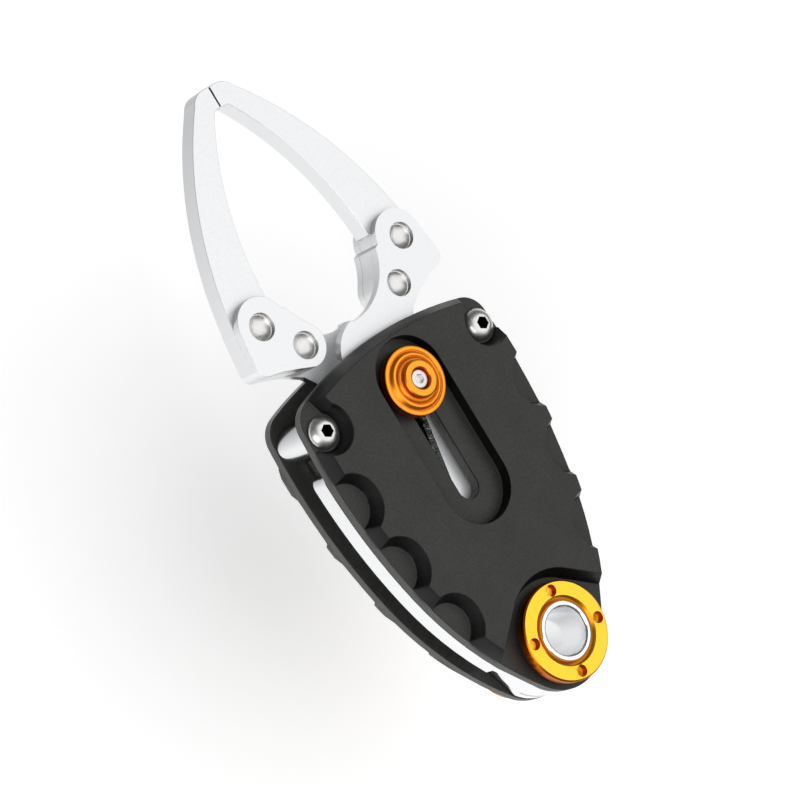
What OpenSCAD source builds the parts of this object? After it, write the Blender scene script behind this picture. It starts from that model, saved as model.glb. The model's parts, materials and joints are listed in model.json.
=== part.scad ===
// Pocket fish-lip gripper: two jaw arms swing on a hollow rear axle between two thick plates.
// Millimetres. The frame: X across the body, Y towards the jaw tip, Z square to the plates.
// The origin is the centre of the hollow axle's bore, half way between the plates.

/* [Body plates] */
// Half of the body's greatest width
half_w = 22.8; // [22.6:0.1:23.2]
// Where along the body it is widest
wide_y = 44; // [43:0.5:45]
// Radius of the body's rear end, around the axle
rear_r = 9.6; // [9.5:0.1:9.9]
// Front edge of the plates, on the centre line
front_y = 59; // [58.8:0.1:59.4]
// Clear gap between the two plates
gap = 8; // [7.9:0.1:8.4]
// Thickness of the low rim of a plate, under the scallops and pockets
rim_t = 1.9; // [1.7:0.1:2.2]
// Height of the raised face above that rim
raise_h = 2.75; // [2.2:0.05:3]
// How far a tapered wall leans in over the raised height
lean = 1.2; // [1:0.1:1.3]
// Radius of a thumb scallop at the raised face
scallop_r = 5.5; // [5:0.1:5.8]

/* [Jaws] */
// Thickness of the jaw blades
blade_t = 3.8; // [3.4:0.1:3.8]
// Thickness of the arm plates and of the cheeks
arm_t = 1.7; // [1.5:0.1:1.75]
// Distance of the jaw tips from the axle
tip_y = 108.8; // [108:0.2:110]
// Gap between the closed jaws at the tip
seam = 0.3; // [0.3:0.1:0.6]
// Angle that each jaw swings open
open_deg = 8; // [6:0.5:8]

/* [Slider] */
// Distance of the closed slider from the axle
slide_y = 49.3; // [49:0.1:49.5]
// Travel of the slider, back towards the axle
travel = 20; // [18:0.5:20]
// Radius of the thumb knob
knob_r = 6.1; // [5.8:0.1:6.3]
// Radius of the cam rollers on the slide pin
roller_r = 3; // [2.8:0.1:3.1]

/* [Axle] */
// Radius of the hollow axle's bore
bore_r = 4.2; // [4:0.1:4.3]
// Radius of the ring nuts
ring_r = 8.75; // [8.5:0.05:9]

/* [Hidden] */
$fn = 64;

inner_z = gap / 2;
rim_z = inner_z + rim_t;
face_z = rim_z + raise_h;
blade_z = blade_t / 2;
arm_top = blade_z + arm_t;
slip = 0.05;
eps = 0.01;

// Screw corners and jaw pins, on the right-hand side
post_c = [19.4, 50.7];
post_r = 3;
screw_r = 1.5;
head_r = 2.85;
head_h = 1.65;
pin_1 = [17.1, 70.5];
pin_2 = [11.5, 64];
pin_r = 2.4;
pin_end_z = arm_top - 0.8;
scallop_ys = [12, 25, 38];

// Lug outline: a lobe round each pin, and a small round at its outer corner
lug_c = [16.7, 70.8];
lug_r = 4.8;
lug_end_r = 4;
corner_c = [20.6, 64.7];
corner_r = 1.7;
loop_c = [0, 74.3];
loop_r = 11.5;

// Slot and recess in the front plate, slide pin and knob
stem_r = 2.1;
slot_r = stem_r + 0.1;
slot_floor_z = inner_z + 2.2;
recess_r = 7;
knob_z = slot_floor_z + 0.35;
knob_flange_z = knob_z + 2.55;
knob_top_z = knob_flange_z + 1.7;
cam_r = roller_r + 0.1;
guide_z = -inner_z - 1.3;

// Hollow axle and ring nuts
axle_r = 5.2;
ring_top_z = face_z + 0.25;
ring_flange_t = 2.2;
ring_boss_r = 7.4;
pocket_r = 10.9;
exit_a = 52;
exit_way = [cos(exit_a), sin(exit_a)];
exit_run = 14 * [sin(exit_a), -cos(exit_a)];
spanner_r = 1;
spanner_ring_r = 7.2;
spanner_a = 77.5;

// Body outline: rear, hip, side, corner and front arcs, each tangent to the next
side_r = 108;
side_c = [half_w - side_r, wide_y];
hip_r = 62;
hip_c = meet(side_c, side_r - hip_r, [0, 0], hip_r - rear_r);
hip_a0 = angle_of(-hip_c);
hip_a1 = angle_of(hip_c - side_c);
hip_y = side_c[1] + side_r * sin(hip_a1);
front_r = 69;
front_c = [0, front_y - front_r];
round_r = 4.6;
round_c = meet(side_c, side_r - round_r, front_c, front_r - round_r);
side_a1 = angle_of(round_c - side_c);
front_a = angle_of(round_c - front_c);

function angle_of(v) = atan2(v[1], v[0]);
function turn(p, a) = [p[0] * cos(a) - p[1] * sin(a), p[0] * sin(a) + p[1] * cos(a)];
function flip(pts) = [for (i = [len(pts) - 1:-1:0]) [-pts[i][0], pts[i][1]]];

// Right-hand meeting point of two circles
function meet(c1, r1, c2, r2) =
    let (d = norm(c2 - c1),
        a = (r1 * r1 - r2 * r2 + d * d) / (2 * d),
        h = sqrt(r1 * r1 - a * a),
        u = (c2 - c1) / d)
    c1 + a * u + h * [-u[1], u[0]];

// Points along an arc from angle a0 to a1
function arc(c, r, a0, a1, n = 12) =
    [for (i = [0:n]) c + r * [cos(a0 + (a1 - a0) * i / n), sin(a0 + (a1 - a0) * i / n)]];

// Points along the arc of radius r from p to q, with its centre on the left of the way
function bow(p, q, r, n = 24) =
    let (m = (p + q) / 2,
        u = (q - p) / norm(q - p),
        h = sqrt(r * r - norm(q - p) * norm(q - p) / 4),
        c = m + h * [-u[1], u[0]],
        a0 = angle_of(p - c),
        a1 = angle_of(q - c))
    arc(c, r, a0, a1 < a0 ? a1 + 360 : a1, n);

// Half width of the body at a distance from the axle
function width_at(y) =
    let (c = y < hip_y ? hip_c : side_c, r = y < hip_y ? hip_r : side_r)
    c[0] + sqrt(r * r - (y - c[1]) * (y - c[1]));

// Right half of the body outline, drawn in by d, and the whole of it
function half_outline(d) = concat(
    arc([0, 0], rear_r - d, -90, hip_a0, 10),
    arc(hip_c, hip_r - d, hip_a0, hip_a1, 10),
    arc(side_c, side_r - d, hip_a1, side_a1, 12),
    arc(round_c, round_r - d, side_a1, front_a, 10),
    arc(front_c, front_r - d, front_a, 90, 8));
function outline(d) = concat(half_outline(d), flip(half_outline(d)));

// The way of the slide pin over a jaw arm that opens evenly as the slider comes back
function cam_y(s) = slide_y - s;
function cam_deg(s) = open_deg * s / travel;
function cam_point(s) = turn([0, cam_y(s)], cam_deg(s));
function cam_side(s) =
    let (a = cam_point(s - 0.05), b = cam_point(s + 0.05), u = (b - a) / norm(b - a))
    cam_point(s) + cam_r * [u[1], -u[0]];

module slab(z0, z1, pts) {
    translate([0, 0, z0])
        linear_extrude(z1 - z0)
            polygon(pts);
}

// A wall that leans in as it rises
module leaning(low, high) {
    hull() {
        slab(rim_z - eps, rim_z, low);
        slab(face_z - eps, face_z, high);
    }
}

// A cut down to the rim with a leaning wall, wider at the face
module pocket(x, y, r) {
    translate([x, y, rim_z])
        cylinder(h = raise_h + 1, r1 = r - lean, r2 = r + lean / raise_h);
}

module both_sides() {
    children();
    mirror([1, 0, 0])
        children();
}

// Straight-sided cut, open to the outside, with a leaning wall on its inner side
module open_cut(p, q) {
    out = [(q - p)[1], -(q - p)[0]] / norm(q - p);
    back = lean * (raise_h + 1) / raise_h;
    hull() {
        slab(rim_z, rim_z + eps, [p, q, q + 12 * out, p + 12 * out]);
        slab(face_z + 1, face_z + 1 + eps,
            [p - back * out, q - back * out, q + 12 * out, p + 12 * out]);
    }
}

// One plate, with its inner face at inner_z and its raised face at face_z
module plate() {
    difference() {
        union() {
            slab(inner_z, rim_z, outline(0));
            leaning(outline(0), outline(lean));
        }
        cylinder(h = 60, r = axle_r, center = true);
        pocket(0, 0, pocket_r);
        both_sides() {
            translate([post_c[0], post_c[1], 0])
                cylinder(h = 60, r = screw_r + 0.1, center = true);
            pocket(post_c[0], post_c[1], head_r + lean + 0.4);
            open_cut([16.6, 50.4], [18.9, 57.5]);
            // The axle's pocket runs out to the sides in straight walls
            open_cut((pocket_r - lean) * exit_way, (pocket_r - lean) * exit_way + exit_run);
            for (y = scallop_ys)
                pocket(width_at(y) + 0.4, y, scallop_r);
        }
    }
}

module stadium(r, y0, y1, z0, z1) {
    for (y = [y0, y1])
        translate([0, y, z0])
            cylinder(h = z1 - z0, r = r);
    translate([-r, y0, z0])
        cube([2 * r, y1 - y0, z1 - z0]);
}

module front_plate() {
    color([0.13, 0.13, 0.13])
        difference() {
            plate();
            stadium(recess_r, slide_y - travel, slide_y + 1, slot_floor_z, face_z + 1);
            stadium(slot_r, slide_y - travel, slide_y, inner_z - 1, face_z);
        }
}

module rear_plate() {
    color([0.13, 0.13, 0.13])
        difference() {
            mirror([0, 0, 1])
                plate();
            stadium(slot_r, slide_y - travel, slide_y, guide_z - 0.1, 0);
        }
}

module post(side) {
    color([0.8, 0.81, 0.82])
        translate([side * post_c[0], post_c[1], 0])
            difference() {
                cylinder(h = gap, r = post_r, center = true);
                cylinder(h = gap + 1, r = screw_r, center = true);
            }
}

// Button-head screw, standing on z = 0, with its shank below
module button_screw(shank) {
    difference() {
        union() {
            rotate_extrude()
                polygon(concat([[0, 0], [head_r, 0], [head_r, 0.55]],
                    arc([0.9, 0.5], 1.15, 60, 90, 4), [[0, head_h]]));
            translate([0, 0, -shank])
                cylinder(h = shank, r = screw_r);
        }
        translate([0, 0, head_h - 1])
            cylinder(h = 2, r = 1.155, $fn = 6);
    }
}

module corner_screws() {
    color([0.75, 0.75, 0.75])
        for (side = [-1, 1])
            translate([side * post_c[0], post_c[1], rim_z])
                button_screw(rim_z - 0.4);
}

module front_screws() {
    corner_screws();
}

module rear_screws() {
    mirror([0, 0, 1])
        corner_screws();
}

module hollow_axle() {
    lip = 0.5;
    color([0.85, 0.85, 0.86])
        rotate_extrude()
            polygon([[bore_r, -ring_top_z + lip], [bore_r + lip, -ring_top_z],
                [axle_r, -ring_top_z], [axle_r, ring_top_z],
                [bore_r + lip, ring_top_z], [bore_r, ring_top_z - lip]]);
}

module ring_nut() {
    flange_z = ring_top_z - ring_flange_t;
    color([0.95, 0.68, 0.12])
        difference() {
            rotate_extrude()
                polygon([[axle_r, rim_z], [ring_boss_r, rim_z], [ring_boss_r, flange_z],
                    [ring_r - 0.3, flange_z], [ring_r, flange_z + 0.3],
                    [ring_r, ring_top_z - 0.3], [ring_r - 0.3, ring_top_z],
                    [axle_r + 0.9, ring_top_z], [axle_r, ring_top_z - 0.8]]);
            for (a = [spanner_a:90:360])
                rotate(a)
                    translate([spanner_ring_r, 0, ring_top_z - 1.3])
                        cylinder(h = 3, r = spanner_r);
        }
}

module front_ring_nut() {
    ring_nut();
}

module rear_ring_nut() {
    mirror([0, 0, 1])
        ring_nut();
}

module thrust_washer() {
    color([0.2, 0.2, 0.2])
        translate([0, 0, arm_top + slip])
            difference() {
                cylinder(h = inner_z - arm_top - slip, r = 8.4);
                translate([0, 0, -1])
                    cylinder(h = 3, r = axle_r);
            }
}

module front_thrust_washer() {
    thrust_washer();
}

module rear_thrust_washer() {
    mirror([0, 0, 1])
        thrust_washer();
}

// Collar between the two arms, with the rod that the spring is threaded on
anchor_r = 9.4;
rod_r = 0.8;
rod_end_y = 24;
spring_y0 = anchor_r + 0.1;
carriage_back = 4.6;
spring_y1 = slide_y - carriage_back - 0.1;

module spring_anchor() {
    color([0.7, 0.7, 0.72])
        difference() {
            union() {
                cylinder(h = 2 * (blade_z - slip), r = anchor_r, center = true);
                translate([0, rod_end_y, 0])
                    rotate([90, 0, 0])
                        cylinder(h = rod_end_y - anchor_r + 0.5, r = rod_r);
            }
            cylinder(h = 20, r = axle_r, center = true);
        }
}

// Coil spring, swept along its helix with six sides
spring_r = 1.45;
wire_r = 0.2;
spring_turns = 20;
wire_sides = 6;
turn_steps = 10;
function coil_point(i, k) =
    let (a = 360 * i / turn_steps,
        b = 360 * k / wire_sides,
        y = spring_y0 + wire_r + (spring_y1 - spring_y0 - 2 * wire_r) * i / (spring_turns * turn_steps),
        r = spring_r + wire_r * cos(b))
    [r * sin(a), y + wire_r * sin(b), r * cos(a)];

module return_spring() {
    rings = spring_turns * turn_steps;
    s = wire_sides;
    pts = [for (i = [0:rings]) for (k = [0:s - 1]) coil_point(i, k)];
    walls = [for (i = [0:rings - 1]) for (k = [0:s - 1])
        for (half = [0, 1])
            half == 0
                ? [i * s + k, (i + 1) * s + k, (i + 1) * s + (k + 1) % s]
                : [i * s + k, (i + 1) * s + (k + 1) % s, i * s + (k + 1) % s]];
    ends = [[for (k = [0:s - 1]) k], [for (k = [s - 1:-1:0]) rings * s + k]];
    color([0.65, 0.65, 0.68])
        polyhedron(points = pts, faces = concat(walls, ends), convexity = 10);
}

// Outline of a lug, from its outer corner round both pins
lug = concat(
    arc(corner_c, corner_r, -75, 5, 6),
    arc(lug_c, lug_r, 8, 172, 16),
    arc(loop_c, loop_r, -16, -42, 8),
    arc(pin_2, lug_end_r, 160, 275, 10),
    [[14.8, 61.2], [17.9, 62.3]]);

// Outline of a jaw's crescent: outer bow, blunt tip along the seam, inner bow
function reverse(pts) = [for (i = [len(pts) - 1:-1:0]) pts[i]];
crescent = concat(
    bow([21.4, 71.5], [4.6, tip_y - 1.8], 67, 24),
    arc([1.5, tip_y - 3.6], 3.6, 40, 90, 5),
    [[seam / 2, tip_y], [seam / 2, tip_y - 4]],
    reverse(bow([12.3, 73.5], [1.6, tip_y - 4.1], 58, 20)));

// Outline of a jaw arm: body-wide behind the posts, a neck between them, and the lug
neck_c = turn(post_c, open_deg);
shoulder_r = norm(post_c) - post_r - 0.6;
function arm(lug_in) = concat(
    arc([0, 0], rear_r - 0.1, 180 - hip_a0, 360 + hip_a0, 20),
    [for (y = [6:4:34]) [width_at(y) - 4, y]],
    arc([0, 0], shoulder_r, 68.5, 80, 6),
    arc(neck_c, post_r + 0.5, 255, 180, 6),
    [[9.4, 56.5], [11.4, 59.2], [14.8, 61.2], [17.9, 62.3]],
    arc(corner_c - [lug_in, 0], corner_r, -75, 5, 6),
    arc(lug_c - [lug_in, 0], lug_r, 8, 172 - 6 * lug_in, 16),
    arc(loop_c, loop_r, -16, -94, 12),
    arc([0, 56], 7.3, 98, 155, 6),
    [[-7.7, 55.5], [-9.6, 52]],
    arc([-21.2, 55], 12.4, -22, -66, 8),
    arc(nose_c, nose_r, 60, 178, 6),
    [for (y = [40:-3:rail_y0]) [0.1 - width_at(y), y]]);

// Rail under the arm plate's outer edge, as deep as half of the stack
nose_r = 1.8;
nose_c = [0.1 + nose_r - width_at(42.9), 42.9];
rail_w = 3;
rail_y0 = 1;
rail = concat(
    arc(nose_c, nose_r, 0, 178, 8),
    [for (y = [40:-3:rail_y0]) [0.1 - width_at(y), y]],
    [for (y = [rail_y0:3:40]) [0.1 + rail_w - width_at(y), y]]);

// Slot that the slide pin's roller runs in, straight on the side that it pushes
function heading(p, q) = angle_of(q - p);
cam_in = cam_point(0);
cam_out = cam_point(travel);
push_a = heading(cam_in, cam_out) + 90;
cam_steps = 16;
cam_outline = concat(
    arc(cam_in, cam_r, push_a, heading(cam_point(0), cam_point(0.1)) + 270, 10),
    [for (i = [1:cam_steps - 1]) cam_side(travel * i / cam_steps)],
    arc(cam_out, cam_r, heading(cam_point(travel - 0.1), cam_out) + 270, push_a + 360, 10));

module cam_slot() {
    slab(0, 10, cam_outline);
}

module lug_pins(r, z0, z1) {
    for (p = [pin_1, pin_2])
        translate([p[0], p[1], z0])
            cylinder(h = z1 - z0, r = r);
}

// An arm plate as it lies on the right jaw, above the blade
module arm_plate(lug_in) {
    color([0.8, 0.81, 0.82])
        difference() {
            union() {
                slab(blade_z, arm_top, arm(lug_in));
                slab(slip, blade_z + eps, rail);
            }
            cylinder(h = 2 * blade_z, r = anchor_r + 0.1, center = true);
            cylinder(h = 20, r = axle_r + slip, center = true);
            cam_slot();
            lug_pins(pin_r, 0, 10);
        }
}

module jaw_blade() {
    color([0.82, 0.83, 0.84])
        difference() {
            union() {
                slab(-blade_z, blade_z, crescent);
                slab(-blade_z, blade_z, lug);
            }
            lug_pins(pin_r, -10, 10);
        }
}

// A cheek plate as it lies under the right jaw
module cheek() {
    color([0.8, 0.81, 0.82])
        difference() {
            slab(-arm_top, -blade_z, lug);
            lug_pins(pin_r, -10, 0);
        }
}

module jaw_pins() {
    color([0.7, 0.7, 0.72])
        lug_pins(pin_r, -pin_end_z, pin_end_z);
}

// The left jaw is the right one turned over about the long axis
module turned_over() {
    rotate([0, 180, 0])
        children();
}

module upper_arm() {
    arm_plate(0);
}

module right_jaw() {
    jaw_blade();
}

module right_cheek() {
    cheek();
}

module right_jaw_pins() {
    jaw_pins();
}

module lower_arm() {
    turned_over()
        arm_plate(1.1);
}

module left_jaw() {
    turned_over()
        jaw_blade();
}

module left_cheek() {
    turned_over()
        cheek();
}

module left_jaw_pins() {
    turned_over()
        jaw_pins();
}

module at_slider() {
    translate([0, slide_y, 0])
        children();
}

// Turned knob: a flange, two stepped rings and a raised face with a counterbore
module thumb_knob() {
    color([0.95, 0.5, 0.05])
        at_slider()
            rotate_extrude()
                polygon([[1, knob_z], [knob_r - 0.9, knob_z], [knob_r - 0.9, knob_z + 0.7],
                    [knob_r - 0.2, knob_z + 0.7], [knob_r, knob_z + 0.9],
                    [knob_r, knob_flange_z - 0.2], [knob_r - 0.2, knob_flange_z],
                    [knob_r - 0.8, knob_flange_z], [knob_r - 0.95, knob_flange_z - 0.2],
                    [knob_r - 1.1, knob_flange_z + 0.1], [knob_r - 1.7, knob_flange_z + 0.45],
                    [knob_r - 1.85, knob_flange_z + 0.25], [knob_r - 2, knob_flange_z + 0.6],
                    [3.5, knob_flange_z + 0.8], [3.35, knob_top_z - 0.2],
                    [3.15, knob_top_z], [1.95, knob_top_z], [1.85, knob_top_z - 0.1],
                    [1.85, knob_top_z - 1.4], [1, knob_top_z - 1.4]]);
}

module knob_screw() {
    z = knob_top_z - 1.4;
    color([0.7, 0.7, 0.7])
        at_slider()
            difference() {
                union() {
                    translate([0, 0, z])
                        cylinder(h = 0.9, r = 1.7);
                    translate([0, 0, z - 6])
                        cylinder(h = 6 + eps, r = 1);
                }
                translate([0, 0, z + 0.2])
                    cylinder(h = 2, r = 0.75, $fn = 6);
            }
}

module knob_washer() {
    color([0.1, 0.1, 0.1])
        at_slider()
            translate([0, 0, slot_floor_z + slip])
                difference() {
                    cylinder(h = knob_z - slot_floor_z - slip, r = 5.6);
                    translate([0, 0, -1])
                        cylinder(h = 3, r = stem_r);
                }
}

module slide_pin() {
    color([0.6, 0.6, 0.62])
        at_slider()
            difference() {
                translate([0, 0, guide_z])
                    cylinder(h = knob_z - guide_z, r = stem_r);
                translate([0, 0, knob_top_z - 1.4 - 6])
                    cylinder(h = 20, r = 1);
            }
}

// Block that carries the pin between the arms and takes the spring's push
module carriage() {
    z = blade_z - 0.1;
    color([0.3, 0.3, 0.32])
        at_slider()
            difference() {
                translate([-4, -carriage_back, -z])
                    cube([8, 2 * carriage_back - 0.4, 2 * z]);
                cylinder(h = 20, r = stem_r, center = true);
            }
}

module roller(z0, z1) {
    color([0.55, 0.55, 0.57])
        at_slider()
            translate([0, 0, z0])
                difference() {
                    cylinder(h = z1 - z0, r = roller_r);
                    translate([0, 0, -1])
                        cylinder(h = 10, r = stem_r);
                }
}

module upper_roller() {
    roller(blade_z, arm_top);
}

module lower_roller() {
    roller(-arm_top, -blade_z);
}

front_plate();
rear_plate();
post(-1);  // left_post
post(1);  // right_post
front_screws();
rear_screws();
hollow_axle();
front_ring_nut();
rear_ring_nut();
front_thrust_washer();
rear_thrust_washer();
spring_anchor();
return_spring();
upper_arm();
right_jaw();
right_cheek();
right_jaw_pins();
lower_arm();
left_jaw();
left_cheek();
left_jaw_pins();
thumb_knob();
knob_screw();
knob_washer();
slide_pin();
carriage();
upper_roller();
lower_roller();
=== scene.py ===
# %% [markdown]
# # A pocket fish-lip gripper, dressed for the studio
# The tool is a sandwich. Two thick black plates hold two thin aluminium arms between them, and the
# arms swing on a hollow axle and carry a pair of curved jaws. A turned knob slides the jaws open.
# Its dimensions and motions are already settled in a CAD model, so this lesson brings that model in
# as a fixed frame and works only on what the eye adds: broken edges, turned rings and metal finishes.

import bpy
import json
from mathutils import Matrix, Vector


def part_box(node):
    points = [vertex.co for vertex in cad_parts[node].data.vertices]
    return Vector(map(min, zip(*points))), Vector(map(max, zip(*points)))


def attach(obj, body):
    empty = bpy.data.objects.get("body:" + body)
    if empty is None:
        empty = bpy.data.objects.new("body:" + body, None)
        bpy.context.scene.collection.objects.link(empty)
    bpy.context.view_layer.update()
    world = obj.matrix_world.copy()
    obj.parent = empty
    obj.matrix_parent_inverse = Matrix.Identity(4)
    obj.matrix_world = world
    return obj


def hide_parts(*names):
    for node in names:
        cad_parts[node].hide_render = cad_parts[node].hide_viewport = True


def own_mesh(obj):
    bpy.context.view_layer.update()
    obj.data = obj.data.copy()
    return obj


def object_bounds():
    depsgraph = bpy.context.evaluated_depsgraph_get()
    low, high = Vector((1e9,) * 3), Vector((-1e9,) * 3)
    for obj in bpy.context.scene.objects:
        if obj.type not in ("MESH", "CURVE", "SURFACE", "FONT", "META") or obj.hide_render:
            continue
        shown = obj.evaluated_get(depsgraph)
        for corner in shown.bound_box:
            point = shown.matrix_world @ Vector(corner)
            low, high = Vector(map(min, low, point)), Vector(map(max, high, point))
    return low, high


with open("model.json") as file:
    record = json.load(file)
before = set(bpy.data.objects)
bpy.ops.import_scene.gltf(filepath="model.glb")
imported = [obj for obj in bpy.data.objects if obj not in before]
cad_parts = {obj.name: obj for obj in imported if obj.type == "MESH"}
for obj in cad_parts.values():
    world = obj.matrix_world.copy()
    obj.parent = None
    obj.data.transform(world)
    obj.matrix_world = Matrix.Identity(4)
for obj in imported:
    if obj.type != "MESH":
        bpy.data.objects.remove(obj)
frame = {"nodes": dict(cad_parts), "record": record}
cad_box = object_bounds()
print("CAD box in mm:", [[round(c * 1000, 2) for c in corner] for corner in cad_box])

# %% [markdown]
# ## Units and colours
# Blender works in metres here, and a maker thinks in millimetres, so one constant turns one into the
# other. Colours are picked as sRGB hex values, the way a paint chart gives them, and a shader wants
# linear light, so one function does that step for every colour in the file.

# %% Units and colours
import json
import math

import bmesh
import bpy
from mathutils import Matrix, Vector

MM = 0.001


def linear(hex_colour):
    """Turns an sRGB hex value into the linear colour that a shader takes."""
    parts = [int(hex_colour[i:i + 2], 16) / 255 for i in (1, 3, 5)]
    return [*(c / 12.92 if c <= 0.04045 else ((c + 0.055) / 1.055) ** 2.4 for c in parts), 1.0]


print("mid grey in linear light:", round(linear("#808080")[0], 3))

# %% [markdown]
# ## How every finish is built
# A finish is a small graph of nodes. Two helpers are enough: one adds any node with its settings and
# its links, and one starts a material with its shader and its coordinates. The coordinates are the
# object's own, in metres, so a grain that is 0.3 mm wide stays 0.3 mm wide on every piece.

# %% Two helpers for materials
def add(tree, kind, settings=None, links=None):
    """Adds one node, gives it its settings and joins its inputs."""
    made = tree.nodes.new(kind)
    for key, value in (settings or {}).items():
        if isinstance(key, int) or key in made.inputs:
            made.inputs[key].default_value = value
        else:
            setattr(made, key, value)
    for key, source in (links or {}).items():
        tree.links.new(source, made.inputs[key])
    return made


def start_finish(name, colour, metallic, roughness):
    """Starts a material: its node tree, its shader and its object coordinates."""
    material = bpy.data.materials.new(name)
    material.use_nodes = True
    tree = material.node_tree
    shader = tree.nodes["Principled BSDF"]
    shader.inputs["Base Color"].default_value = linear(colour)
    shader.inputs["Metallic"].default_value = metallic
    shader.inputs["Roughness"].default_value = roughness
    place = add(tree, "ShaderNodeTexCoord")
    return material, tree, shader, place


def per_mm(size):
    """The texture scale that makes a pattern's feature this many millimetres wide."""
    return 1000 / size


# %% [markdown]
# ## Black anodised aluminium
# The plates could be milled from bar, blasted with glass beads and anodised black. Blasting leaves a
# fine even grain that turns gloss into a soft grey sheen, and the dye can take a little unevenly, so
# the roughness drifts slightly over a few millimetres. The leaning walls are drawn nearly black, partly
# for a smoother milled skin and partly as painted shade for the dim light they get, with faint level
# lines, as the side of a mill would leave them. Those lines follow height alone, so on flat faces they
# vanish by themselves. The low square rim gets a greyer colour than the flats, which was matched; it
# is a painted sheen for the pale floor that it mirrors. Bead pits would be about 0.1 mm wide; they are
# drawn at 0.35 mm, because finer would not show.

# %% Black anodised finish
black_anodised, tree, shader, place = start_finish("black_anodised_blasted", "#2a2a2a", 0.0, 0.42)
shader.inputs["IOR"].default_value = 1.35
grain = add(tree, "ShaderNodeTexNoise", {"Scale": per_mm(0.35), "Detail": 3.0, "Roughness": 0.6},
            {"Vector": place.outputs["Object"]})
drift = add(tree, "ShaderNodeTexNoise", {"Scale": per_mm(6), "Detail": 2.0},
            {"Vector": place.outputs["Object"]})
tone = add(tree, "ShaderNodeMix", {"data_type": "RGBA", 6: linear("#1d1d1c"), 7: linear("#42423f")},
           {0: grain.outputs["Fac"]})
facing = add(tree, "ShaderNodeSeparateXYZ", {}, {"Vector": place.outputs["Normal"]})
upright = add(tree, "ShaderNodeMath", {"operation": "ABSOLUTE"}, {0: facing.outputs["Z"]})
flat = add(tree, "ShaderNodeMapRange", {"From Min": 0.5, "From Max": 0.9}, {"Value": upright.outputs[0]})
# Painted shade: walls and slopes are mixed towards near black, partly for a smoother milled skin.
shade = add(tree, "ShaderNodeMix", {"data_type": "RGBA", 6: linear("#0b0b0b")},
            {0: flat.outputs["Result"], 7: tone.outputs[2]})
height = add(tree, "ShaderNodeSeparateXYZ", {}, {"Vector": place.outputs["Object"]})
RIM_TOP = 5.9
off_middle = add(tree, "ShaderNodeMath", {"operation": "ABSOLUTE"}, {0: height.outputs["Z"]})
low_down = add(tree, "ShaderNodeMath", {"operation": "LESS_THAN", 1: RIM_TOP * MM},
               {0: off_middle.outputs[0]})
# Painted sheen: the low rim's upright walls get a greyer colour for the pale floor they mirror.
rim = add(tree, "ShaderNodeMapRange", {"From Min": 0.1, "From Max": 0.25, "To Min": 1.0, "To Max": 0.0},
          {"Value": upright.outputs[0]})
painted_rim_sheen = add(tree, "ShaderNodeMath", {"operation": "MULTIPLY"},
           {0: rim.outputs["Result"], 1: low_down.outputs[0]})
colour = add(tree, "ShaderNodeMix", {"data_type": "RGBA", 7: linear("#525250")},
             {0: painted_rim_sheen.outputs[0], 6: shade.outputs[2]})
tree.links.new(colour.outputs[2], shader.inputs["Base Color"])
gloss = add(tree, "ShaderNodeMapRange", {"From Min": 0.3, "From Max": 0.7, "To Min": 0.36, "To Max": 0.5},
            {"Value": drift.outputs["Fac"]})
tree.links.new(gloss.outputs["Result"], shader.inputs["Roughness"])
MILL_PITCH = 0.22
turns = add(tree, "ShaderNodeMath", {"operation": "MULTIPLY", 1: 2 * math.pi * per_mm(MILL_PITCH)},
            {0: height.outputs["Z"]})
lines = add(tree, "ShaderNodeMath", {"operation": "SINE"}, {0: turns.outputs[0]})
relief = add(tree, "ShaderNodeMath", {"operation": "MULTIPLY_ADD", 1: 0.35},
             {0: lines.outputs[0], 2: grain.outputs["Fac"]})
bump = add(tree, "ShaderNodeBump", {"Strength": 0.35, "Distance": 0.02 * MM},
           {"Height": relief.outputs[0]})
tree.links.new(bump.outputs["Normal"], shader.inputs["Normal"])
print("mill lines every", MILL_PITCH, "mm")

# %% [markdown]
# ## Satin aluminium
# Arms, cheeks, jaws and posts look like one bare alloy: cut from plate, blasted, and nearly white on
# the flats. Their edges look smoother than the flats and show level lines. A look at the surface's
# own direction tells flats from edges: the upright part of the normal is near 1 on a flat and near 0
# on an edge. Two settings here are stand-ins, not facts about the metal. The flats are only 0.7
# metallic, in place of the light that a blasted skin scatters. Edges that face the jaws' end are
# tinted greyer, as painted shade for a darker room on that side than these lights make. The tint is
# fixed to the part, so under other lights it is best taken out by giving both edge colours the first
# value.

# %% Satin aluminium finish
satin_aluminium, tree, shader, place = start_finish("satin_aluminium_blasted", "#e3e4e6", 1.0, 0.38)
grain = add(tree, "ShaderNodeTexNoise", {"Scale": per_mm(0.3), "Detail": 3.0, "Roughness": 0.65},
            {"Vector": place.outputs["Object"]})
tone = add(tree, "ShaderNodeMix", {"data_type": "RGBA", 6: linear("#e4e5e7"), 7: linear("#fafbfc")},
           {0: grain.outputs["Fac"]})
facing = add(tree, "ShaderNodeSeparateXYZ", {}, {"Vector": place.outputs["Normal"]})
upright = add(tree, "ShaderNodeMath", {"operation": "ABSOLUTE"}, {0: facing.outputs["Z"]})
flat = add(tree, "ShaderNodeMapRange", {"From Min": 0.5, "From Max": 0.9}, {"Value": upright.outputs[0]})
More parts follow.
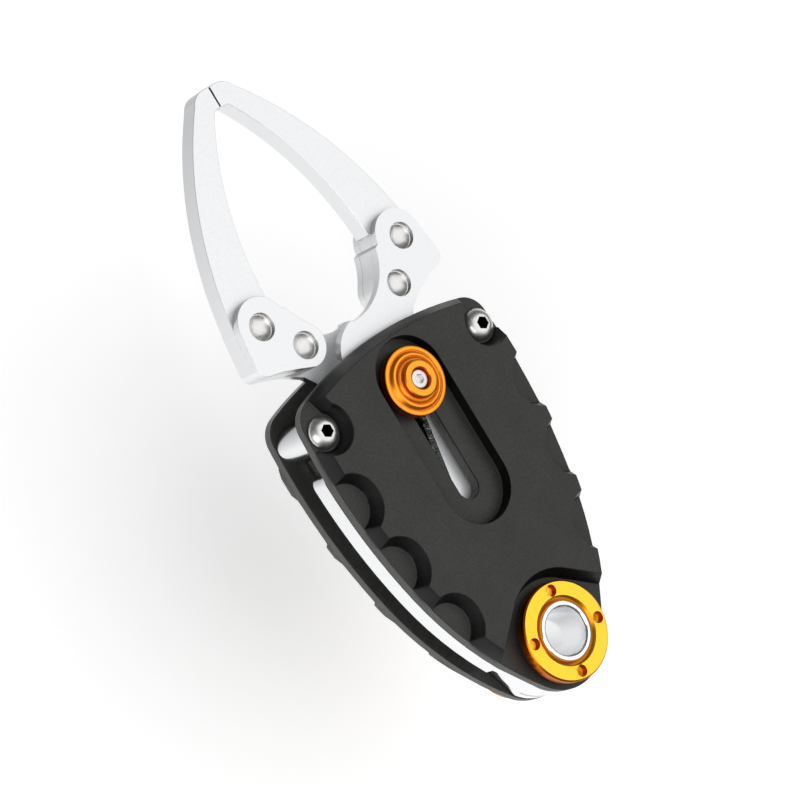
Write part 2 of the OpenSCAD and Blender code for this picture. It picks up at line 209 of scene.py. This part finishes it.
# Painted shade: edges that face +Y, towards the jaws' end, are tinted greyer.
far = add(tree, "ShaderNodeMapRange", {"From Min": -0.1, "From Max": 0.9}, {"Value": facing.outputs["Y"]})
cut_edge_painted_shade = add(tree, "ShaderNodeMix", {"data_type": "RGBA", 6: linear("#f1f2f3"), 7: linear("#9d9fa1")},
          {0: far.outputs["Result"]})
shade = add(tree, "ShaderNodeMix", {"data_type": "RGBA"},
            {0: flat.outputs["Result"], 6: cut_edge_painted_shade.outputs[2], 7: tone.outputs[2]})
tree.links.new(shade.outputs[2], shader.inputs["Base Color"])
chalky = add(tree, "ShaderNodeMapRange", {"To Min": 1.0, "To Max": 0.7}, {"Value": flat.outputs["Result"]})
tree.links.new(chalky.outputs["Result"], shader.inputs["Metallic"])
gloss = add(tree, "ShaderNodeMapRange", {"From Min": 0.3, "From Max": 0.9, "To Min": 0.2, "To Max": 0.4},
            {"Value": upright.outputs[0]})
tree.links.new(gloss.outputs["Result"], shader.inputs["Roughness"])
height = add(tree, "ShaderNodeSeparateXYZ", {}, {"Vector": place.outputs["Object"]})
streak = add(tree, "ShaderNodeCombineXYZ", {}, {"Z": height.outputs["Z"]})
sawn = add(tree, "ShaderNodeTexNoise", {"Scale": per_mm(0.25), "Detail": 2.0},
           {"Vector": streak.outputs["Vector"]})
relief = add(tree, "ShaderNodeMath", {"operation": "MULTIPLY_ADD", 1: 0.8},
             {0: sawn.outputs["Fac"], 2: grain.outputs["Fac"]})
bump = add(tree, "ShaderNodeBump", {"Strength": 0.25, "Distance": 0.01 * MM},
           {"Height": relief.outputs[0]})
tree.links.new(bump.outputs["Normal"], shader.inputs["Normal"])
print("grain of 0.3 mm on the flats, level lines of 0.25 mm on the edges")

# %% [markdown]
# ## Turned and dyed rings
# The ring nuts look anodised gold and the thumb knob orange, both turned on a lathe. Tool rings would
# be finer than a render shows, so they are drawn 0.5 mm apart on the nuts and 0.35 mm apart on
# the knob. They are drawn from the distance to the axis, which is at a different place for each
# piece, so one function makes both finishes. Level faces get the lighter colour and slopes and walls
# the deeper one: painted shade, and painted warm light that dyed walls throw on each other. Both
# colours were matched.

# %% Dyed turned finishes
def turned_finish(name, light, deep, level, roughness, centre_y, ring_pitch, ring_strength):
    """A dyed lathe finish with rings round the axis at (0, centre_y), with painted shade: light where it lies
    level, deeper on slopes.
    """
    material, tree, shader, place = start_finish(name, light, 1.0, roughness)
    centred = add(tree, "ShaderNodeMapping", {"Location": (0, -centre_y, 0), "Scale": (1, 1, 0)},
                  {"Vector": place.outputs["Object"]})
    radius = add(tree, "ShaderNodeVectorMath", {"operation": "LENGTH"}, {0: centred.outputs["Vector"]})
    turns = add(tree, "ShaderNodeMath", {"operation": "MULTIPLY", 1: 2 * math.pi * per_mm(ring_pitch)},
                {0: radius.outputs["Value"]})
    rings = add(tree, "ShaderNodeMath", {"operation": "SINE"}, {0: turns.outputs[0]})
    grain = add(tree, "ShaderNodeTexNoise", {"Scale": per_mm(0.5), "Detail": 2.0},
                {"Vector": place.outputs["Object"]})
    relief = add(tree, "ShaderNodeMath", {"operation": "MULTIPLY_ADD", 1: ring_strength},
                 {0: rings.outputs[0], 2: grain.outputs["Fac"]})
    bump = add(tree, "ShaderNodeBump", {"Strength": 0.3, "Distance": 0.01 * MM},
               {"Height": relief.outputs[0]})
    facing = add(tree, "ShaderNodeSeparateXYZ", {}, {"Vector": place.outputs["Normal"]})
    upright = add(tree, "ShaderNodeMath", {"operation": "ABSOLUTE"}, {0: facing.outputs["Z"]})
    # Painted shade: slopes and walls take the deep colour and level faces the light one.
    share = add(tree, "ShaderNodeMapRange", {"From Min": level, "From Max": 0.97},
                {"Value": upright.outputs[0]})
    dye_and_painted_shade = add(tree, "ShaderNodeMix", {"data_type": "RGBA", 6: linear(deep), 7: linear(light)},
              {0: share.outputs["Result"]})
    tree.links.new(dye_and_painted_shade.outputs[2], shader.inputs["Base Color"])
    tree.links.new(bump.outputs["Normal"], shader.inputs["Normal"])
    return material


KNOB_Y = sum(corner.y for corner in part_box("thumb_knob")) / 2
gold_anodised = turned_finish("gold_anodised_turned", "#ffcf40", "#c8690c", 0.7, 0.32, 0.0, 0.5, 0.3)
orange_anodised = turned_finish("orange_anodised_turned", "#ffa836", "#d35c0e", 0.3, 0.38, KNOB_Y, 0.35, 0.6)
print("knob axis at Y", round(KNOB_Y / MM, 2), "mm")

# %% [markdown]
# ## Bare steels, the polished tube and black plastic
# Screws, pins and spring look like plain metals that differ in colour and polish, and the hollow axle
# like aluminium tube, bright inside, with faint streaks along its length. All of them take one
# simple graph: a grain that can be stretched along the axle, roughness that follows it, and a bump.
# The slider's washer and carriage are hidden, and are taken to be black acetal, a matt plastic.

# %% Plain finishes
def plain_finish(name, colour, metallic, roughness, grain_mm, stretch, depth):
    """A finish with one grain, drawn out by stretch along the upright axis."""
    material, tree, shader, place = start_finish(name, colour, metallic, roughness)
    drawn = add(tree, "ShaderNodeMapping", {"Scale": (1, 1, 1 / stretch)},
                {"Vector": place.outputs["Object"]})
    grain = add(tree, "ShaderNodeTexNoise", {"Scale": per_mm(grain_mm), "Detail": 3.0},
                {"Vector": drawn.outputs["Vector"]})
    gloss = add(tree, "ShaderNodeMapRange", {"From Min": 0.3, "From Max": 0.7,
                "To Min": roughness * 0.8, "To Max": roughness * 1.25}, {"Value": grain.outputs["Fac"]})
    bump = add(tree, "ShaderNodeBump", {"Strength": depth, "Distance": 0.01 * MM},
               {"Height": grain.outputs["Fac"]})
    tree.links.new(gloss.outputs["Result"], shader.inputs["Roughness"])
    tree.links.new(bump.outputs["Normal"], shader.inputs["Normal"])
    return material


stainless = plain_finish("stainless_tumbled", "#dddcda", 1.0, 0.33, 0.4, 1, 0.15)
polished_tube = plain_finish("aluminium_tube_polished", "#eeeff0", 1.0, 0.13, 0.6, 12, 0.25)
spring_steel = plain_finish("spring_steel_drawn", "#b5b7ba", 1.0, 0.28, 0.3, 1, 0.1)
black_plastic = plain_finish("black_acetal_moulded", "#151516", 0.0, 0.5, 0.4, 1, 0.2)
print(len(bpy.data.materials), "materials so far")

# %% [markdown]
# ## Broken edges
# No machined edge is perfectly sharp. Up to a fifth of a millimetre is broken off it here, and that
# narrow facet catches the light as a thin bright line, which is most of what makes metal look real.
# The flat parts keep their CAD shape: a copy of the CAD mesh is welded, its level triangles are
# joined into whole faces, and a Bevel modifier breaks every edge that turns by more than 30 degrees.
# Two kinds of part need care. Joining a ring nut's level face left a fault across its bore once it
# was bevelled, so the ring nuts keep their triangles. A full bevel overshot beside the arms' rail, so
# theirs is clamped, and that leaves almost none of it.

# %% Finish a mesh as a piece
BODY_OF = {node: body for body, nodes in frame["record"]["behaviour"]["bodies"].items() for node in nodes}
SLOT_OF = {part["node"]: part["material_slot"] for part in frame["record"]["subparts"]}
FINISHES = {"black_anodised": black_anodised, "satin_aluminium": satin_aluminium,
            "stainless": stainless, "gold_anodised": gold_anodised,
            "orange_anodised": orange_anodised, "polished_tube": polished_tube,
            "black_plastic": black_plastic, "spring_steel": spring_steel}


def make_piece(bm, node, edge):
    """Makes a bmesh the piece that stands for a CAD node, with its edges broken by edge mm."""
    mesh = bpy.data.meshes.new(node + "_finished")
    bm.to_mesh(mesh)
    bm.free()
    mesh.shade_smooth()
    piece = bpy.data.objects.new(node + "_finished", mesh)
    bpy.context.scene.collection.objects.link(piece)
    if edge:
        bevel = piece.modifiers.new("broken_edge", "BEVEL")
        bevel.width = edge * MM
        bevel.segments = 2
        bevel.limit_method = "ANGLE"
        bevel.angle_limit = math.radians(30)
        bevel.use_clamp_overlap = node.endswith("_arm")
        weighted = piece.modifiers.new("flat_faces", "WEIGHTED_NORMAL")
        weighted.weight = 100
    mesh.materials.append(FINISHES[SLOT_OF[node]])
    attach(piece, BODY_OF[node])
    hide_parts(node)
    return piece


def welded(node):
    """A copy of a CAD node with its loose triangles merged and its level ones joined."""
    bm = bmesh.new()
    bm.from_mesh(frame["nodes"][node].data)
    bmesh.ops.remove_doubles(bm, verts=bm.verts, dist=0.01 * MM)
    if not node.endswith("ring_nut"):
        bmesh.ops.dissolve_limit(bm, angle_limit=math.radians(0.3), verts=bm.verts, edges=bm.edges)
    return bm


# %% [markdown]
# ## The plates, arms, cheeks and jaws
# These could all be cut from plate, so their CAD shapes are right as they are and only want their edges
# broken: more on the thick black plates and the jaws, less on the thin bright parts.

# %% Flat parts
EDGES = {"front_plate": 0.13, "rear_plate": 0.13, "upper_arm": 0.08, "lower_arm": 0.08,
         "right_cheek": 0.08, "left_cheek": 0.08, "right_jaw": 0.12, "left_jaw": 0.12,
         "left_post": 0.2, "right_post": 0.2, "spring_anchor": 0.12, "carriage": 0.15,
         "front_ring_nut": 0.06, "rear_ring_nut": 0.06}
for node, edge in EDGES.items():
    piece = make_piece(welded(node), node, edge)
    print(piece.name, len(piece.data.polygons), "faces before their bevel")

# %% [markdown]
# ## Turning on the lathe
# Everything round is made as a turner makes it: half of its section is drawn as points of radius and
# height, and the section is spun once round its axis. The spin merges its ends, doubles at the poles
# are merged, and the faces are turned outwards.

# %% The lathe
LATHE_STEPS = 96


def lathe(bm, section, x, y, closed):
    """Spins a section of (radius, height) points in mm round the upright axis at x, y."""
    ring = [bm.verts.new(((x + r) * MM, y * MM, z * MM)) for r, z in section]
    edges = [bm.edges.new(pair) for pair in zip(ring, ring[1:])]
    if closed:
        edges.append(bm.edges.new((ring[-1], ring[0])))
    bmesh.ops.spin(bm, geom=ring + edges, cent=(x * MM, y * MM, 0), axis=(0, 0, 1),
                   angle=2 * math.pi, steps=LATHE_STEPS, use_merge=True)
    bmesh.ops.remove_doubles(bm, verts=bm.verts, dist=0.001 * MM)
    bmesh.ops.recalc_face_normals(bm, faces=bm.faces)


def box_mm(node):
    """A CAD node's lowest and highest corners in millimetres."""
    return [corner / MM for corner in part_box(node)]


# %% [markdown]
# ## The hollow axle
# The axle is a tube that is also the lanyard eye. Its ends stand just inside the ring nuts' faces
# and are flared a little, so its mouth is a round bright lip with the bore falling away inside it.

# %% Hollow axle
low, high = box_mm("hollow_axle")
AXLE_R, BORE_R, TOP = high.x, 4.2, high.z
lip = [(BORE_R, TOP - 0.5), (BORE_R + 0.04, TOP - 0.25), (BORE_R + 0.14, TOP - 0.08),
       (BORE_R + 0.28, TOP), (AXLE_R - 0.15, TOP), (AXLE_R, TOP - 0.15)]
bm = bmesh.new()
lathe(bm, lip + [(r, -z) for r, z in reversed(lip)], 0, 0, True)
make_piece(bm, "hollow_axle", 0)
print("axle bore", 2 * BORE_R, "mm, length", round(2 * TOP, 1), "mm")

# %% [markdown]
# ## The thumb knob
# The knob is turned in steps that give the thumb something to push: a flange with a rounded edge, two
# ridges with grooves between them, and a raised button whose middle is bored out for a screw.

# %% Thumb knob
low, high = box_mm("thumb_knob")
R, Z0, Z1 = high.x, low.z, high.z
FLANGE = Z1 - 1.7
knob = [(1.0, Z0), (R - 0.9, Z0), (R - 0.9, Z0 + 0.6), (R - 0.35, Z0 + 0.75), (R, Z0 + 1.1),
        (R, FLANGE - 0.3), (R - 0.12, FLANGE - 0.08), (R - 0.35, FLANGE), (R - 0.75, FLANGE),
        (R - 0.95, FLANGE - 0.2), (R - 1.15, FLANGE + 0.1), (R - 1.45, FLANGE + 0.38),
        (R - 1.8, FLANGE + 0.45), (R - 1.98, FLANGE + 0.2), (R - 2.15, FLANGE + 0.55),
        (3.55, FLANGE + 0.8), (3.38, FLANGE + 0.7), (3.3, Z1 - 0.3), (3.05, Z1 - 0.04), (2.8, Z1),
        (2.05, Z1), (1.85, Z1 - 0.15), (1.8, Z1 - 1.4), (1.0, Z1 - 1.4)]
bm = bmesh.new()
lathe(bm, knob, 0, KNOB_Y / MM, True)
make_piece(bm, "thumb_knob", 0.05)
print("knob", round(2 * R, 1), "mm across,", round(Z1 - Z0, 2), "mm high")

# %% [markdown]
# ## Screws with a hexagon socket
# A button-head screw is a low dome with a six-sided socket. The dome is turned. The socket starts as
# a hexagon whose sides are cut into as many pieces as the dome has, so that the two loops of edges
# can be bridged point to point, and then it is pushed down and closed with a floor.

# %% Hexagon socket screws
def socket_screw(bm, dome, x, y, top, flat_radius, depth, shank):
    """Turns a head and bridges it to a hexagon socket; heights are above the head's seat."""
    made = bmesh.new()
    lathe(made, shank + dome, x, y, False)
    rim = [e for e in made.edges if e.is_boundary and e.verts[0].co.z > (top - 0.2) * MM]
    ring = bmesh.ops.create_circle(made, segments=6, radius=flat_radius / math.cos(math.pi / 6) * MM,
                                   matrix=Matrix.Translation((x * MM, y * MM, top * MM)))["verts"]
    sides = list({e for v in ring for e in v.link_edges})
    bmesh.ops.subdivide_edges(made, edges=sides, cuts=LATHE_STEPS // 6 - 1)
    mouth = [e for e in made.edges if e.is_wire]
    bmesh.ops.bridge_loops(made, edges=rim + mouth)
    pushed = bmesh.ops.extrude_edge_only(made, edges=mouth)["geom"]
    floor = [g for g in pushed if isinstance(g, bmesh.types.BMVert)]
    bmesh.ops.translate(made, verts=floor, vec=(0, 0, -depth * MM))
    bmesh.ops.contextual_create(made, geom=floor + [g for g in pushed if isinstance(g, bmesh.types.BMEdge)])
    bmesh.ops.recalc_face_normals(made, faces=made.faces)
    mesh = bpy.data.meshes.new("screw")
    made.to_mesh(mesh)
    made.free()
    bm.from_mesh(mesh)
    bpy.data.meshes.remove(mesh)


low, high = box_mm("front_screws")
HEAD_R, HEAD_TOP = 2.85, high.z
SEAT, SHANK_END = HEAD_TOP - 1.65, low.z
SCREW_X, SCREW_Y = high.x - HEAD_R, high.y - HEAD_R
dome = [(HEAD_R - 0.05, SEAT), (HEAD_R, SEAT + 0.12), (HEAD_R, SEAT + 0.45), (HEAD_R - 0.1, SEAT + 0.66),
        (2.5, SEAT + 1.0), (2.1, SEAT + 1.32), (1.75, SEAT + 1.52), (1.5, SEAT + 1.62), (1.38, HEAD_TOP)]
shank = [(0, SHANK_END), (1.3, SHANK_END), (1.5, SHANK_END + 0.2), (1.5, SEAT)]
for node, way in (("front_screws", 1), ("rear_screws", -1)):
    bm = bmesh.new()
    for x in (SCREW_X, -SCREW_X):
        socket_screw(bm, dome, x, SCREW_Y, HEAD_TOP, 1.1, 0.7, shank)
    bmesh.ops.scale(bm, vec=(1, 1, way), verts=bm.verts)
    bmesh.ops.recalc_face_normals(bm, faces=bm.faces)
    make_piece(bm, node, 0.06)
    print(node, "at X", round(SCREW_X, 1), "and Y", round(SCREW_Y, 1))

# %% [markdown]
# The knob's own screw is smaller and flat-headed, and sits at the bottom of the counterbore.

# %% Knob screw
low, high = box_mm("knob_screw")
TOP = high.z
bm = bmesh.new()
socket_screw(bm, [(1.5, TOP - 0.9), (1.7, TOP - 0.8), (1.7, TOP - 0.25), (1.5, TOP - 0.05), (1.1, TOP)],
             0, KNOB_Y / MM, TOP, 0.75, 0.6, [(0, low.z), (0.9, low.z), (1.0, low.z + 0.1), (1.0, TOP - 0.9)])
make_piece(bm, "knob_screw", 0.03)
print("knob screw top at Z", round(TOP, 2))

# %% [markdown]
# ## The jaw pins
# Each lug is held by two pins that look pressed in, and are dished at both ends. A dish is part of a ball,
# so its section is a sweep of a circle's arc. One side of it turns dark while the other turns bright,
# and that is why it reads as a hollow from any side.

# %% Jaw pins
PINS = ((17.1, 70.5), (11.5, 64.0))
PIN_R, DISH_R, DISH = 2.38, 2.28, 0.85
BALL_R = (DISH_R ** 2 + DISH ** 2) / (2 * DISH)
DISH_RADII = [DISH_R * i / 12 for i in range(13)]
for node, way in (("right_jaw_pins", 1), ("left_jaw_pins", -1)):
    end = box_mm(node)[1].z
    cup = [(r, end - DISH + BALL_R - math.sqrt(BALL_R ** 2 - r ** 2)) for r in DISH_RADII]
    cup.append((PIN_R, end))
    bm = bmesh.new()
    for x, y in PINS:
        lathe(bm, cup + [(r, -z) for r, z in reversed(cup)], way * x, y, False)
    make_piece(bm, node, 0)
    print(node, "ends at Z", round(end, 2))

# %% [markdown]
# ## The return spring
# A compression spring threaded on a rod pushes the slider back. It is a real helix: a small circle
# of wire is spun round the rod's line and moved along it at each step.

# %% Return spring
low, high = box_mm("return_spring")
WIRE_R, COIL_TURNS, COIL_STEPS = 0.2, 20, 28
COIL_R = high.x - WIRE_R
bm = bmesh.new()
wire = bmesh.ops.create_circle(bm, segments=10, radius=WIRE_R * MM, matrix=Matrix.Translation(
    (0, (low.y + WIRE_R) * MM, COIL_R * MM)) @ Matrix.Rotation(math.pi / 2, 4, "Y"))["verts"]
rise = (high.y - low.y - 2 * WIRE_R) / (COIL_TURNS * COIL_STEPS)
bmesh.ops.spin(bm, geom=wire + list({e for v in wire for e in v.link_edges}), cent=(0, 0, 0),
               axis=(0, 1, 0), dvec=(0, rise * MM, 0), angle=2 * math.pi * COIL_TURNS,
               steps=COIL_TURNS * COIL_STEPS)
bmesh.ops.holes_fill(bm, edges=[e for e in bm.edges if e.is_boundary], sides=10)
bmesh.ops.recalc_face_normals(bm, faces=bm.faces)
spring = make_piece(bm, "return_spring", 0)
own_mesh(spring)
print("spring of", COIL_TURNS, "turns,", round(high.y - low.y, 1), "mm long at rest")

# %% [markdown]
# ## Small round parts between the plates
# The washers, the slide pin and its two rollers are only glimpsed through the gap, but they are
# turned like the rest, so that they stay round when the tool is looked at from the side.

# %% Washers, slide pin and rollers
HOLES = {"front_thrust_washer": AXLE_R, "rear_thrust_washer": AXLE_R, "knob_washer": 2.1,
         "upper_roller": 2.1, "lower_roller": 2.1, "slide_pin": 0}
for node, hole in HOLES.items():
    low, high = box_mm(node)
    radius, y = (high.x - low.x) / 2, (low.y + high.y) / 2
    section = [(hole, low.z), (radius, low.z), (radius, high.z), (hole, high.z)]
    bm = bmesh.new()
    lathe(bm, section, 0, y, hole > 0)
    make_piece(bm, node, min(0.08, (high.z - low.z) / 4))
    print(node, "radius", round(radius, 2), "mm")

# %% [markdown]
# ## The camera
# The tool is seen from above and from its left, with a long lens from about half a metre, so its
# lines hardly converge. A camera is a point it looks at, a direction back to the lens and an upward
# direction, and here the upward one is rolled so that the jaws point to the upper left.

# %% Camera
TARGET = Vector((1.55, 47.1, 0)) * MM
BACK = Vector((-0.5759, 0.0937, 0.8121)).normalized()
UP = Vector((0.4695, 0.8512, 0.2347))
DISTANCE, LENS = 541.7 * MM, 144.1
right = UP.cross(BACK).normalized()
up = BACK.cross(right)
camera = bpy.data.objects.new("camera", bpy.data.cameras.new("camera"))
bpy.context.scene.collection.objects.link(camera)
turn = Matrix((right, up, BACK)).transposed().to_4x4()
camera.matrix_world = Matrix.Translation(TARGET + BACK * DISTANCE) @ turn
camera.data.lens = LENS
camera.data.clip_start, camera.data.clip_end = 0.01, 20
bpy.context.scene.camera = camera
print("camera at", [round(c / MM) for c in camera.location], "mm")

# %% [markdown]
# ## Floor and light
# The tool floats on its back 40 mm over a plain pale floor, so that light can come up its bore.
# Metal shows its surroundings more than itself, so the lights are large and soft: one broad box
# stands where the flat faces mirror it to the camera, and a smaller one opens the left side. A white
# world fills what they leave.

# %% Floor and lights
FLOOR_DROP = 40 * MM
bpy.ops.mesh.primitive_plane_add(size=6, location=(0, 0, cad_box[0].z - FLOOR_DROP))
floor = bpy.context.object
floor.name = "floor"
floor_white, tree, shader, place = start_finish("floor_light_table", "#ffffff", 0.0, 0.9)
shader.inputs["Emission Color"].default_value = linear("#ffffff")
shader.inputs["Emission Strength"].default_value = 0.3
floor.data.materials.append(floor_white)


def softbox(name, direction, distance, size, power):
    """A square soft light that faces the tool from a direction."""
    data = bpy.data.lights.new(name, "AREA")
    data.size, data.energy = size, power
    light = bpy.data.objects.new(name, data)
    bpy.context.scene.collection.objects.link(light)
    way = Vector(direction).normalized()
    light.location = TARGET + way * distance
    light.rotation_euler = way.to_track_quat("Z", "Y").to_euler()


softbox("top_box", (0.3, -0.1, 0.95), 0.9, 1.5, 8.0)
softbox("left_box", (-0.75, -0.15, 0.6), 0.9, 0.6, 3.0)
world = bpy.data.worlds.new("studio")
world.use_nodes = True
world.node_tree.nodes["Background"].inputs["Color"].default_value = (1, 1, 1, 1)
world.node_tree.nodes["Background"].inputs["Strength"].default_value = 0.12
bpy.context.scene.world = world
bpy.context.scene.view_settings.view_transform = "Standard"
print("two soft boxes over a floor at Z", round(floor.location.z / MM, 2), "mm")
